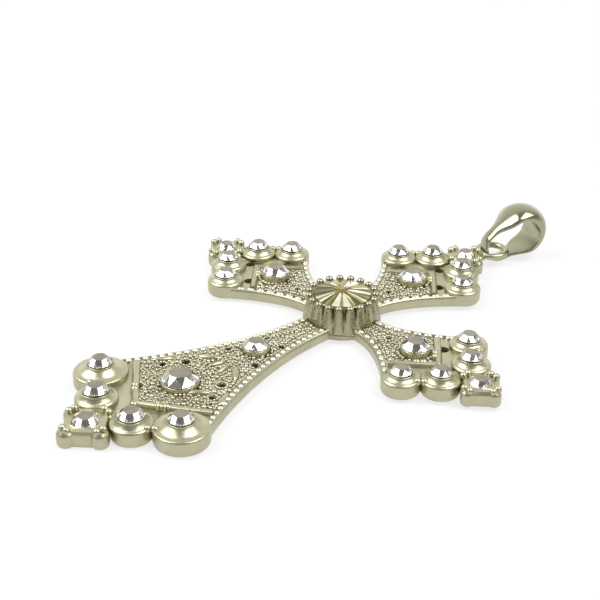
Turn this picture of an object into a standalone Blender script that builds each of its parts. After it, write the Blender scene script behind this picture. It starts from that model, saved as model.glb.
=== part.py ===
"""A cast cross pendant set with glass stones, hung from a tapered bail.

The pendant lies on its back: z = 0 is the flat back of the casting, +Y runs up the pendant
towards the bail, +X is its right arm and +Z faces out of the front. Units are metres.
"""

import math

import bmesh
import bpy
from mathutils import Matrix, Vector

MM = 0.001
MERGE = 0.00001

# The cross plate.
PLATE_TOP = 1.65 * MM
FIELD_TOP = 1.3 * MM
RIM_WIDTH = 0.75 * MM
RIDGE_WIDTH = 0.6 * MM
RIDGE_FOOT = 0.6 * MM
RIDGE_TOP = 1.95 * MM
RIDGE_START = 2.2 * MM
RIDGE_INSET = 1.35 * MM
RIDGE_END = 2.83 * MM
MID_COLLAR = 0.45 * MM
MID_COLLAR_TOP = 1.75 * MM
MID_COLLAR_FOOT = 0.65 * MM
MID_COLLAR_BEVEL = 0.2 * MM
FLARE_START = 5.0 * MM
EDGE_STEPS = 7

# Round lobes that close each arm, and the square tip beyond them.
LOBE_SHOULDER = 1.85 * MM
LOBE_SLOPE_RADIUS = 0.9
LOBE_SLOPE_DROP = 0.32 * MM
COLLAR_RADIUS = 0.62
COLLAR_TOP = 2.6 * MM
TIP_TOP = 1.9 * MM
TIP_BEAD_RADIUS = 0.42 * MM
TIP_BEAD_RISE = 0.2 * MM

# The fluted centre cup, which narrows from its foot to the ring of beads on its mouth.
CUP_RADIUS = 5.1 * MM
CUP_MOUTH_RADIUS = 4.5 * MM
CUP_TOP = 4.3 * MM
CUP_PLINTH = 0.9 * MM
PLINTH_INSET = 0.05 * MM
PLINTH_TOP = 1.2 * MM
FLUTE_COUNT = 19
FLUTE_TURN = math.radians(8.1)
FLUTE_STEPS = 4
FLUTE_DEPTH = 0.22 * MM
CUP_BEAD_CIRCLE = 4.4 * MM
CUP_BEAD_RADIUS = 0.5 * MM

# Stones: the girdle is the widest edge, between the crown above and the pavilion below. The crown
# and the pavilion are shares of the diameter and the table is a share of the radius.
STONE_SIDES = 12
GIRDLE_HEIGHT = 0.12 * MM
CROWN = 0.2
TABLE = 0.5
PAVILION = 0.42
LARGE_STONE = 6.0 * MM
LARGE_CROWN = 0.6 * MM
LARGE_TABLE = 0.62
SEAT_GAP = 0.1 * MM
SEAT_RISE = 1.5 * MM
LEAST_FLOOR = 0.3 * MM

# The cast eyelet: a ring that lies flat beyond the top tip.
EYELET_CENTRE = Vector((0.0, 29.8 * MM, 0.85 * MM))
EYELET_RADIUS = 2.0 * MM
EYELET_WIRE = 0.5 * MM
NECK_HALF_WIDTH = 0.8 * MM
NECK_START = 26.1 * MM
NECK_TOP = 1.25 * MM

# The bail is a loop round two circles, a small one in the eyelet and a large one for the chain. It
# swings about the centre of its small circle, leans up by its pitch and is turned by its yaw.
BAIL_PIVOT = Vector((0.3 * MM, 30.7 * MM, 1.8 * MM))
BAIL_PITCH = math.radians(28.5)
BAIL_YAW = math.radians(-20.5)
BAIL_INNER = (2.0 * MM, 2.5 * MM, 3.3 * MM)
BAIL_OUTER = (2.5 * MM, 3.6 * MM, 4.1 * MM)
BAIL_NARROW = 2.0 * MM
BAIL_WIDE = 5.0 * MM
BAIL_EDGE = 0.2 * MM
BAIL_STATIONS = 36
BAIL_ACROSS = 6

METAL = (0.72, 0.71, 0.60)
BAIL_METAL = (0.66, 0.65, 0.53)
CLEAR_GLASS = (0.93, 0.93, 0.92)
TINTED_GLASS = (0.72, 0.68, 0.45)


class Arm:
    """One arm: u runs outwards along it and v across it, to the left of u."""

    def __init__(self, name, angle, root, gain, power, reach, lobes, tip, mids):
        self.name = name
        self.angle = math.radians(angle)
        self.root = root * MM
        self.gain = gain
        self.power = power
        self.reach = reach * MM
        self.lobes = lobes
        self.tip = tip
        self.mids = mids

    def place(self, u, v):
        cos, sin = math.cos(self.angle), math.sin(self.angle)
        return Vector((u * cos - v * sin, u * sin + v * cos, 0.0))

    def half_width(self, u):
        beyond = max(0.0, (u - FLARE_START) / MM)
        return self.root + self.gain * beyond ** self.power * MM


# In millimetres, lobes are (u, v, radius, girdle height, stone diameter), tips are (u, half diagonal,
# pillar radius, recess of the faces, girdle height, stone diameter) and mid stones are (u, girdle
# height, stone diameter).
SHORT_LOBES = ((16.72, 6.04, 2.45, 2.86, 2.85), (20.13, 2.72, 2.45, 3.0, 2.8))
SHORT_TIP = (24.0, 3.1, 0.85, 0.15, 2.2, 2.75)
SHORT_MIDS = ((13.31, 2.48, 3.6),)
LONG_LOBES = ((32.27, 8.05, 3.35, 3.22, 3.1), (35.91, 3.54, 2.6, 3.0, 3.2))
LONG_TIP = (39.68, 3.85, 1.05, 0.3, 2.1, 3.15)
LONG_MIDS = ((14.64, 2.31, 3.25), (26.41, 2.18, 4.5))
CENTRE_STONE = (4.38, 7.4)

ARMS = (
    Arm("right", 0, 2.2, 0.114, 1.667, 15.1, SHORT_LOBES, SHORT_TIP, SHORT_MIDS),
    Arm("top", 90, 2.2, 0.114, 1.667, 15.1, SHORT_LOBES, SHORT_TIP, SHORT_MIDS),
    Arm("left", 180, 2.2, 0.114, 1.667, 15.1, SHORT_LOBES, SHORT_TIP, SHORT_MIDS),
    Arm("bottom", 270, 2.4, 0.0191, 1.861, 29.6, LONG_LOBES, LONG_TIP, LONG_MIDS),
)


def clear_scene():
    for old in list(bpy.data.objects):
        bpy.data.objects.remove(old, do_unlink=True)


def new_collection(name, hidden=False):
    made = bpy.data.collections.new(name)
    bpy.context.scene.collection.children.link(made)
    made.hide_render = hidden
    return made


def new_material(name, colour, metallic, roughness, alpha=1.0):
    made = bpy.data.materials.new(name)
    made.use_nodes = True
    shader = made.node_tree.nodes["Principled BSDF"]
    shader.inputs["Base Color"].default_value = (*colour, 1.0)
    shader.inputs["Metallic"].default_value = metallic
    shader.inputs["Roughness"].default_value = roughness
    shader.inputs["Alpha"].default_value = alpha
    made.diffuse_color = (*colour, alpha)
    return made


def link_object(name, data, collection, material=None):
    made = bpy.data.objects.new(name, data)
    collection.objects.link(made)
    if material:
        made.data.materials.append(material)
    return made


def mark_as_guides(*collections):
    for collection in collections:
        for made in collection.objects:
            made.hide_render = True
            made.display_type = "WIRE"


def extruded(name, outline, low, high, collection):
    """A flat outline as a 2D curve, standing from z = low to z = high."""
    curve = bpy.data.curves.new(name, "CURVE")
    curve.dimensions = "2D"
    curve.fill_mode = "BOTH"
    curve.extrude = (high - low) / 2
    spline = curve.splines.new("POLY")
    spline.points.add(len(outline) - 1)
    for point, place in zip(spline.points, outline):
        point.co = (place[0], place[1], 0.0, 1.0)
    spline.use_cyclic_u = True
    made = link_object(name, curve, collection)
    made.location.z = (high + low) / 2
    return curve_to_mesh(made, collection)


def curve_to_mesh(made, collection):
    bpy.context.view_layer.update()
    evaluated = made.evaluated_get(bpy.context.evaluated_depsgraph_get())
    mesh = bpy.data.meshes.new_from_object(evaluated)
    shape = bmesh.new()
    shape.from_mesh(mesh)
    bmesh.ops.remove_doubles(shape, verts=shape.verts, dist=MERGE)
    bmesh.ops.recalc_face_normals(shape, faces=shape.faces)
    shape.to_mesh(mesh)
    shape.free()
    solid = bpy.data.objects.new(made.name + "_solid", mesh)
    solid.matrix_world = made.matrix_world
    collection.objects.link(solid)
    name = made.name
    bpy.data.objects.remove(made, do_unlink=True)
    solid.name = name
    return solid


def turned(name, profile, steps, collection):
    """A solid of revolution about Z. The profile lists (radius, height) from the top down."""
    mesh = bpy.data.meshes.new(name)
    points = [(radius, 0.0, height) for radius, height in profile]
    edges = [(i, i + 1) for i in range(len(points) - 1)]
    mesh.from_pydata(points, edges, [])
    made = link_object(name, mesh, collection)
    screw = made.modifiers.new("turn", "SCREW")
    screw.steps = steps
    screw.render_steps = steps
    screw.use_merge_vertices = True
    screw.merge_threshold = MERGE
    screw.use_smooth_shade = True
    return made


def ball(name, radius, place, collection):
    mesh = bpy.data.meshes.new(name)
    shape = bmesh.new()
    bmesh.ops.create_uvsphere(shape, u_segments=8, v_segments=5, radius=radius)
    shape.to_mesh(mesh)
    shape.free()
    made = link_object(name, mesh, collection)
    made.location = place
    return made


def outline_of_cross(inset=0.0, ends=True):
    """The plate's outline, anticlockwise. An inset leaves a rim, and without ends it stops at the lobes."""
    outline = []
    for index, arm in enumerate(ARMS):
        after = ARMS[(index + 1) % len(ARMS)]
        step = (arm.reach - FLARE_START) / EDGE_STEPS
        edge = [FLARE_START + step * count for count in range(EDGE_STEPS + 1)]
        outline += [arm.place(u, inset - arm.half_width(u)) for u in edge]
        if ends:
            chain = [(u * MM, v * MM) for u, v, *_ in arm.lobes]
            outline += [arm.place(u, -v) for u, v in chain]
            outline.append(arm.place(arm.tip[0] * MM, 0.0))
            outline += [arm.place(u, v) for u, v in reversed(chain)]
        outline += [arm.place(u, arm.half_width(u) - inset) for u in reversed(edge)]
        outline.append(arm.place(after.root - inset, arm.root - inset))
    return outline


def lobe_profile(radius):
    return (
        (0.0, COLLAR_TOP),
        (COLLAR_RADIUS * radius, COLLAR_TOP),
        (LOBE_SLOPE_RADIUS * radius, COLLAR_TOP - LOBE_SLOPE_DROP),
        (radius, LOBE_SHOULDER),
        (radius, 0.0),
        (0.0, 0.0),
    )


def stone_sizes(diameter, height):
    """Radius, girdle, crown height, table radius and pavilion depth of a stone."""
    wide = diameter * MM
    radius = wide / 2
    girdle = height * MM
    large = wide > LARGE_STONE
    crown = LARGE_CROWN if large else CROWN * wide
    table = radius * (LARGE_TABLE if large else TABLE)
    pavilion = min(PAVILION * wide, girdle - GIRDLE_HEIGHT - LEAST_FLOOR - SEAT_GAP)
    return radius, girdle, crown, table, pavilion


def make_stone(name, diameter, height, place, collection, material):
    radius, girdle, crown, table, pavilion = stone_sizes(diameter, height)
    profile = (
        (0.0, crown),
        (table, crown),
        (radius, 0.0),
        (radius, -GIRDLE_HEIGHT),
        (0.0, -GIRDLE_HEIGHT - pavilion),
    )
    made = turned(name, profile, STONE_SIDES, collection)
    made.data.materials.append(material)
    made.location = (place.x, place.y, girdle)
    return made


def make_seat(name, diameter, height, place, collection):
    """The conical recess that a stone stands in, a little wider than its pavilion."""
    radius, girdle, _, _, pavilion = stone_sizes(diameter, height)
    wide = radius + SEAT_GAP
    profile = (
        (0.0, SEAT_RISE),
        (wide, SEAT_RISE),
        (wide, -GIRDLE_HEIGHT),
        (0.0, -GIRDLE_HEIGHT - pavilion - SEAT_GAP),
    )
    turned(name, profile, STONE_SIDES, collection).location = (place.x, place.y, girdle)


def add_lobes(arm, additions):
    for u, v, radius, _, _ in arm.lobes:
        for side in (-1, 1):
            made = turned(f"{arm.name}_lobe", lobe_profile(radius * MM), 20, additions)
            made.location = arm.place(u * MM, side * v * MM)
            made.rotation_euler.z = arm.angle


def add_tip(arm, additions):
    """A square block set corner-on, with a round pillar and a bead at each corner."""
    u, half_diagonal, pillar, recess = (value * MM for value in arm.tip[:4])
    reach = half_diagonal - pillar
    block = []
    for quarter in range(4):
        angle = quarter * math.pi / 2
        corner = Vector((u + reach * math.cos(angle), reach * math.sin(angle)))
        for turn in (-math.pi / 4, math.pi / 4):
            side = Vector((math.cos(angle + turn), math.sin(angle + turn)))
            block.append(arm.place(*(corner + side * (pillar - recess))))
        place = arm.place(*corner)
        profile = ((0.0, TIP_TOP), (pillar, TIP_TOP), (pillar, 0.0), (0.0, 0.0))
        turned(f"{arm.name}_pillar", profile, 12, additions).location = place
        bead_place = place + Vector((0, 0, TIP_TOP + TIP_BEAD_RISE))
        ball(f"{arm.name}_bead", TIP_BEAD_RADIUS, bead_place, additions)
    extruded(f"{arm.name}_tip", block, 0.0, TIP_TOP, additions)


def add_mid_collars(arm, additions):
    for u, _, diameter in arm.mids:
        radius = diameter / 2 * MM + MID_COLLAR
        profile = (
            (0.0, MID_COLLAR_TOP),
            (radius - MID_COLLAR_BEVEL, MID_COLLAR_TOP),
            (radius, MID_COLLAR_TOP - MID_COLLAR_BEVEL),
            (radius, MID_COLLAR_FOOT),
            (0.0, MID_COLLAR_FOOT),
        )
        made = turned(f"{arm.name}_collar", profile, 16, additions)
        made.location = arm.place(u * MM, 0.0)


def add_ridges(arm, additions):
    """Two straight ridges that frame the outer mid stone and meet between the inner lobes."""
    u_start = arm.reach - RIDGE_START
    v_start = arm.half_width(u_start) - RIDGE_INSET
    end = arm.place(arm.lobes[1][0] * MM - RIDGE_END, 0.0)
    for side in (-1, 1):
        start = arm.place(u_start, side * v_start)
        along = (end - start).normalized() * RIDGE_WIDTH / 2
        across = Vector((-along.y, along.x, 0.0))
        corners = [start + across, start - across, end - across, end + across]
        if side > 0:
            corners.reverse()
        extruded(f"{arm.name}_ridge", corners, RIDGE_FOOT, RIDGE_TOP, additions)


def add_cup(additions):
    count = FLUTE_COUNT * FLUTE_STEPS
    outline = []
    for step in range(count):
        angle = 2 * math.pi * step / count
        swell = abs(math.cos(angle * FLUTE_COUNT / 2))
        radius = CUP_RADIUS - FLUTE_DEPTH * (1 - swell)
        turn = angle + FLUTE_TURN
        outline.append((radius * math.cos(turn), radius * math.sin(turn)))
    flutes = extruded("cup_flutes", outline, CUP_PLINTH, CUP_TOP, additions)
    for vertex in flutes.data.vertices:
        if vertex.co.z > 0:
            vertex.co.xy *= CUP_MOUTH_RADIUS / CUP_RADIUS
    plinth = CUP_RADIUS - PLINTH_INSET
    profile = ((0.0, PLINTH_TOP), (plinth, PLINTH_TOP), (plinth, 0.0), (0.0, 0.0))
    turned("cup_plinth", profile, 32, additions)
    for index in range(FLUTE_COUNT):
        angle = 2 * math.pi * index / FLUTE_COUNT + FLUTE_TURN
        place = Vector((CUP_BEAD_CIRCLE * math.cos(angle), CUP_BEAD_CIRCLE * math.sin(angle), CUP_TOP))
        ball("cup_bead", CUP_BEAD_RADIUS, place, additions)


def add_eyelet(additions):
    bpy.ops.mesh.primitive_torus_add(
        major_radius=EYELET_RADIUS, minor_radius=EYELET_WIRE, major_segments=28, minor_segments=8,
        location=EYELET_CENTRE)
    ring = bpy.context.object
    ring.name = "eyelet_ring"
    for old in list(ring.users_collection):
        old.objects.unlink(ring)
    additions.objects.link(ring)
    neck_end = EYELET_CENTRE.y - EYELET_RADIUS
    neck = [
        (-NECK_HALF_WIDTH, NECK_START),
        (NECK_HALF_WIDTH, NECK_START),
        (NECK_HALF_WIDTH, neck_end),
        (-NECK_HALF_WIDTH, neck_end),
    ]
    extruded("eyelet_neck", neck, 0.0, NECK_TOP, additions)


def loop_point(fraction, loop):
    """A point on the outline round two circles, by the fraction of its length from the small end."""
    small, large, distance = loop
    lean = math.asin((large - small) / distance)
    small_arc = small * (math.pi / 2 - lean)
    straight = distance * math.cos(lean)
    large_arc = large * (math.pi / 2 + lean)
    half = small_arc + straight + large_arc
    side = 1 if fraction <= 0.5 else -1
    travelled = 2 * half * (fraction if side > 0 else 1 - fraction)
    if travelled < small_arc:
        angle = math.pi - travelled / small
        along, up = small * math.cos(angle), small * math.sin(angle)
    elif travelled < small_arc + straight:
        part = (travelled - small_arc) / straight
        start = (-small * math.sin(lean), small * math.cos(lean))
        end = (distance - large * math.sin(lean), large * math.cos(lean))
        along = start[0] + (end[0] - start[0]) * part
        up = start[1] + (end[1] - start[1]) * part
    else:
        angle = (half - travelled) / large
        along, up = distance + large * math.cos(angle), large * math.sin(angle)
    return Vector((0.0, along, side * up))


def make_bail(parts, material):
    """A closed band, domed outside and flat inside, that widens from its small end to its large end."""
    mesh = bpy.data.meshes.new("bail")
    shape = bmesh.new()
    rings = []
    for station in range(BAIL_STATIONS):
        fraction = station / BAIL_STATIONS
        inner = loop_point(fraction, BAIL_INNER)
        outer = loop_point(fraction, BAIL_OUTER)
        reach = min(1.0, max(0.0, inner.y / BAIL_INNER[2]))
        width = BAIL_NARROW + (BAIL_WIDE - BAIL_NARROW) * reach * reach * (3 - 2 * reach)
        thick = (outer - inner).length
        outward = (outer - inner) / thick
        ring = []
        for step in range(BAIL_ACROSS + 1):
            angle = math.pi * step / BAIL_ACROSS
            rise = BAIL_EDGE + (thick - BAIL_EDGE) * math.sin(angle)
            across = Vector((-width / 2 * math.cos(angle), 0.0, 0.0))
            ring.append(shape.verts.new(inner + outward * rise + across))
        ring.append(shape.verts.new(inner + Vector((width / 2, 0.0, 0.0))))
        ring.append(shape.verts.new(inner - Vector((width / 2, 0.0, 0.0))))
        rings.append(ring)
    for ring, after in zip(rings, rings[1:] + rings[:1]):
        for index in range(len(ring)):
            other = (index + 1) % len(ring)
            shape.faces.new((ring[index], ring[other], after[other], after[index]))
    bmesh.ops.recalc_face_normals(shape, faces=shape.faces)
    shape.to_mesh(mesh)
    shape.free()
    mesh.shade_smooth()
    mesh.set_sharp_from_angle(angle=math.radians(50))
    bail = link_object("bail", mesh, parts, material)
    turn = Matrix.Rotation(BAIL_YAW, 4, "Z") @ Matrix.Rotation(BAIL_PITCH, 4, "X")
    bail.matrix_world = Matrix.Translation(BAIL_PIVOT) @ turn
    return bail


def add_modifier(made, name, operation, collection):
    cut = made.modifiers.new(name, "BOOLEAN")
    cut.operation = operation
    cut.operand_type = "COLLECTION"
    cut.collection = collection
    cut.solver = "EXACT"


def make_casting(parts, fields, additions, seats, material):
    casting = extruded("cross_casting", outline_of_cross(), 0.0, PLATE_TOP, parts)
    casting.name = "cross_casting"
    casting.data.materials.append(material)
    extruded("field", outline_of_cross(RIM_WIDTH, ends=False), FIELD_TOP, PLATE_TOP + MM, fields)
    for arm in ARMS:
        add_lobes(arm, additions)
        add_tip(arm, additions)
        add_mid_collars(arm, additions)
        add_ridges(arm, additions)
    add_cup(additions)
    add_eyelet(additions)
    add_modifier(casting, "sink_field", "DIFFERENCE", fields)
    add_modifier(casting, "join", "UNION", additions)
    add_modifier(casting, "sink_stones", "DIFFERENCE", seats)
    return casting


def make_stones(parts, seats, clear, tinted):
    def pair(name, diameter, height, place, material):
        make_stone(name, diameter, height, place, parts, material)
        make_seat(name + "_seat", diameter, height, place, seats)

    pair("stone_centre", CENTRE_STONE[1], CENTRE_STONE[0], Vector((0, 0, 0)), tinted)
    for arm in ARMS:
        for number, (u, height, diameter) in enumerate(arm.mids, 1):
            name = f"stone_{arm.name}_mid_{number}" if len(arm.mids) > 1 else f"stone_{arm.name}_mid"
            pair(name, diameter, height, arm.place(u * MM, 0.0), clear)
        for ring, (u, v, _, height, diameter) in zip(("outer", "inner"), arm.lobes):
            for side, word in ((-1, "a"), (1, "b")):
                place = arm.place(u * MM, side * v * MM)
                pair(f"stone_{arm.name}_{ring}_{word}", diameter, height, place, clear)
        u, *_, height, diameter = arm.tip
        pair(f"stone_{arm.name}_tip", diameter, height, arm.place(u * MM, 0.0), clear)


def main():
    clear_scene()
    parts = new_collection("cross_pendant")
    fields = new_collection("field_cutters", hidden=True)
    additions = new_collection("joined_shapes", hidden=True)
    seats = new_collection("seat_cutters", hidden=True)
    metal = new_material("cast_metal", METAL, 1.0, 0.35)
    bail_metal = new_material("bail_metal", BAIL_METAL, 1.0, 0.15)
    clear = new_material("clear_stone", CLEAR_GLASS, 0.0, 0.05, 0.6)
    tinted = new_material("tinted_stone", TINTED_GLASS, 0.0, 0.05, 0.6)
    make_stones(parts, seats, clear, tinted)
    make_casting(parts, fields, additions, seats, metal)
    make_bail(parts, bail_metal)
    mark_as_guides(fields, additions, seats)


main()
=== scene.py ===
"""Looks for a cast cross pendant set with glass stones: fine casting detail, foil-backed stones, a
polished bail, a pale floor and soft studio light.

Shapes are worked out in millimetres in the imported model's frame, where z = 0 is the flat back of
the casting, +Y runs up the pendant towards the bail and +Z faces out of the front.
"""

import math
import random

import bmesh
import bpy
from mathutils import Matrix, Vector


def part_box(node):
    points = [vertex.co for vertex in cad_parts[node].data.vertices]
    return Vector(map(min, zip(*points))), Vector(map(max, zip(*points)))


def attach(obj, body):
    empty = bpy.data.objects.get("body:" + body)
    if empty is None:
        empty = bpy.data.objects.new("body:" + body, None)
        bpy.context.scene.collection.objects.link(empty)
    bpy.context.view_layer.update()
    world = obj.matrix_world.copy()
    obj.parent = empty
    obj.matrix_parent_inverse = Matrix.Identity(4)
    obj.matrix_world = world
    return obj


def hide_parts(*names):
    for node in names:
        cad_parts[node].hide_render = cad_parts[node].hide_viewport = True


MM = 0.001

# Camera, in millimetres and degrees.
CAMERA_TARGET = Vector((-4.093, -3.698, 3.0))
CAMERA_DISTANCE = 169.646
CAMERA_AZIMUTH = 48.103
CAMERA_ELEVATION = 28.624
CAMERA_ROLL = 0.502
SENSOR_WIDTH = 36.0
LENS = 77.81
CAMERA_CLIP = (0.005, 20.0)  # metres

# Light: each lamp is (name, azimuth, elevation, distance, side, power in watts).
LAMPS = (
    ("lamp_left", CAMERA_AZIMUTH - 88, 50, 420, 300, 1.4),
    ("lamp_right", CAMERA_AZIMUTH + 72, 57, 420, 300, 1.4),
)
BACKDROP_ELEVATION = 5
FLOOR_GLOW = 0.75
FLOOR_TONE = 0.18
FLOOR_REACH = 1.5  # metres
# (y, z) of two points that the floor passes through.
FLOOR_NEAR = (-43.5, -0.02)
FLOOR_FAR = (36.0, -0.76)

# Casting: heights above its back, and distances in plan.
FIELD_TOP = 1.3
FLARE_START = 5.0
EDGE_STEPS = 26
LOBE_SHOULDER = 1.85
TIP_TOP = 2.05
CUP_RADIUS = 5.1
CUP_MOUTH_RADIUS = 4.5
CUP_BEAD_CIRCLE = 4.38
CUP_TOP = 4.25
CUP_PLINTH = 0.95
FLUTE_COUNT = 19
FLUTE_TURN = math.radians(8.1)
FLUTE_STEPS = 14
FLUTE_POINTS = FLUTE_COUNT * FLUTE_STEPS
FLUTE_SWELL = 0.2
FLUTE_GAP_START = 0.7  # parts of half a flute's width
FLUTE_GAP_WIDTH = 0.3
CUP_BEAD = 0.5

# Small detail of the casting.
TIP_INSIDE = 1.9  # how far inside a tip's middle the plate ends
PILLAR_STEPS = 12
MILGRAIN_INSET = 0.6
MILGRAIN_HEIGHT = 1.38
MILGRAIN_RISE = 0.36
MILGRAIN_TILT = 0.2
TRACE_STEP = 0.02
SLOPE_STEP = 0.05
RIDGE_HALF_WIDTH = 0.5
RIDGE_RISE = 0.62
RIDGE_SINK = 0.1
RIDGE_BLUNT = (0.5, 0.45)  # how far the V's point is cut back, and half of its blunt end
LEAF_LIFT = 0.08
LEAF_RISE = 0.34
PAIR_HALF_GAP = 0.42
LOBE_BEAD = 0.5
# Bead pairs by the lobes: (how far out from the line between two lobes, height).
LOBE_PAIRS = ((0.95, 1.95), (-4.3, 1.45))
TIP_BEAD = (0.48, 0.48, 0.5)
TIP_BEAD_OUT = 0.1
TIP_BEAD_LIFT = 0.04

# Granules. A cell is the size of the squares that neighbours are looked up in.
FIELD_INSET = 1.12
CELL = 0.6
OVERLAP = 0.86
SCATTER = 0.08
SPAN_STEP = 0.5
SCROLL_START = 6.4
SCROLL_PITCH = 2.1
SCROLL_RADIUS = 0.95
SCROLL_TURNS = 1.6
LANE_START = 1.0
LANE_PITCH = 1.9
RAISED = 0.05  # the least lift of a raised granule
BURIED = 0.05

# Stones. A part is a part of the stone's radius.
GIRDLE_EDGE = 0.1
SEAT_GAP = 0.06
CROWN_PART = 0.4
TABLE_PART = 0.6
PAVILION_PART = 0.78
PAVILION_LOWEST = 0.75
STONE_SIDES = 8
LARGE_RADIUS = 3
LARGE_CROWN = 0.6
LARGE_SIDES = 44
LARGE_CORE_PART = 0.34
LARGE_CORE_DROP = 0.14
# Small turns, picked by the length of a stone's name, so that neighbours don't look alike.
STONE_SPINS = (0.0, 0.12, -0.1, 0.2, 0.05)

# Bail: a loop round two circles, (small radius, large radius, distance between their centres).
BAIL_PIVOT = Vector((0.3, 30.7, 1.8))
BAIL_PITCH = math.radians(28.5)
BAIL_YAW = math.radians(-20.5)
BAIL_INNER = (2.0, 2.5, 3.3)
BAIL_OUTER = (2.5, 3.6, 4.1)
BAIL_NARROW = 2.0
BAIL_WIDE = 5.0
BAIL_EDGE = 0.2
BAIL_STATIONS = 120
BAIL_ACROSS = 16
EYELET_CENTRE = Vector((0.0, 29.8, 0.85))
EYELET_RADIUS = 2.0
EYELET_WIRE = 0.46
EYELET_STEPS = 72
WIRE_STEPS = 16
NECK_STEPS = 24
# The eyelet's neck: (y, half width, top).
NECK = ((26.0, 1.1, 1.5), (26.9, 0.85, 1.4), (27.4, 0.72, 1.3), (27.9, 0.66, 1.25))


# ---------------------------------------------------------------------------------- layout


class Arm:
    """One arm: u runs outwards along it and v across it, to the left of u."""

    def __init__(self, name, angle, root, gain, power, reach, lobes, tip, ridge, pits, rib):
        self.name = name
        self.angle = math.radians(angle)
        self.root = root
        self.gain = gain
        self.power = power
        self.reach = reach
        self.lobes = lobes
        self.tip = tip
        self.ridge = ridge
        self.pits = [(u, side * v, r) for u, v, r in pits for side in ((-1, 1) if v else (1,))]
        self.rib = rib

    def place(self, u, v, z=0.0):
        cos, sin = math.cos(self.angle), math.sin(self.angle)
        return Vector((u * cos - v * sin, u * sin + v * cos, z))

    def half_width(self, u):
        return self.root + self.gain * max(0.0, u - FLARE_START) ** self.power

    def mids(self):
        """The mid stones' (u, radius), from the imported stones' boxes."""
        found = []
        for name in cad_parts:
            if name.startswith(f"stone_{self.name}_mid"):
                centre, radius, _ = stone_size(name)
                found.append((Vector((centre.x, centre.y)).length, radius))
        return sorted(found)


def stone_size(node):
    """Centre in plan, radius and girdle height of a packed stone."""
    low, high = (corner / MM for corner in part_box(node))
    radius = (high.x - low.x) / 2
    crown = LARGE_CROWN if radius > LARGE_RADIUS else CROWN_PART * radius
    return (low + high) / 2, radius, high.z - crown


def pavilion(radius, girdle):
    """How far a stone reaches below its girdle, edge included."""
    return GIRDLE_EDGE + min(PAVILION_PART * radius, girdle - PAVILION_LOWEST)


# An arm's numbers are, in turn: its half width at the cup, the gain and the power of its flare, how
# far its curved edges reach, its lobes as (u, v, radius), its tip as (u, half diagonal, pillar
# radius, recess of its faces), its ridge as (u and v where it starts, u where its two halves meet),
# its pits as (u, v, radius), and its milgrain as (pitch, half length of a bead along and across the
# edge).
SHORT = (
    2.2, 0.114, 1.667, 15.1,
    ((16.72, 6.04, 2.45), (20.13, 2.72, 2.45)),
    (24.0, 3.1, 0.85, 0.25),
    (12.9, 4.4, 17.3),
    ((15.0, 3.3, 0.72), (18.7, 0.0, 0.62), (8.7, 0.0, 0.36)),
    (1.38, 0.6, 0.36),
)
LONG = (
    2.4, 0.0191, 1.861, 29.6,
    ((32.27, 8.05, 3.35), (35.91, 3.54, 2.6)),
    (39.68, 3.85, 1.1, 0.5),
    (27.4, 7.5, 33.08),
    ((11.7, 1.45, 0.34), (17.0, 2.6, 0.45), (22.9, 3.5, 0.5), (25.4, 4.9, 0.4), (30.4, 2.9, 0.5)),
    (1.04, 0.4, 0.4),
)
ARMS = (
    Arm("right", 0, *SHORT),
    Arm("top", 90, *SHORT),
    Arm("left", 180, *SHORT),
    Arm("bottom", 270, *LONG),
)
LONG_ARM = ARMS[3]
# Smooth leaves in the long arm's field: (u, v, half length, half width, turn in degrees).
LEAVES = (
    (14.4, 1.35, 1.1, 0.3, 28),
    (19.9, 2.5, 1.5, 0.42, 48),
    (20.3, 0.7, 1.2, 0.34, 12),
    (26.0, 2.9, 1.5, 0.42, -42),
    (24.6, 6.0, 1.4, 0.4, 30),
)


# ---------------------------------------------------------------------------------- mesh tools


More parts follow.
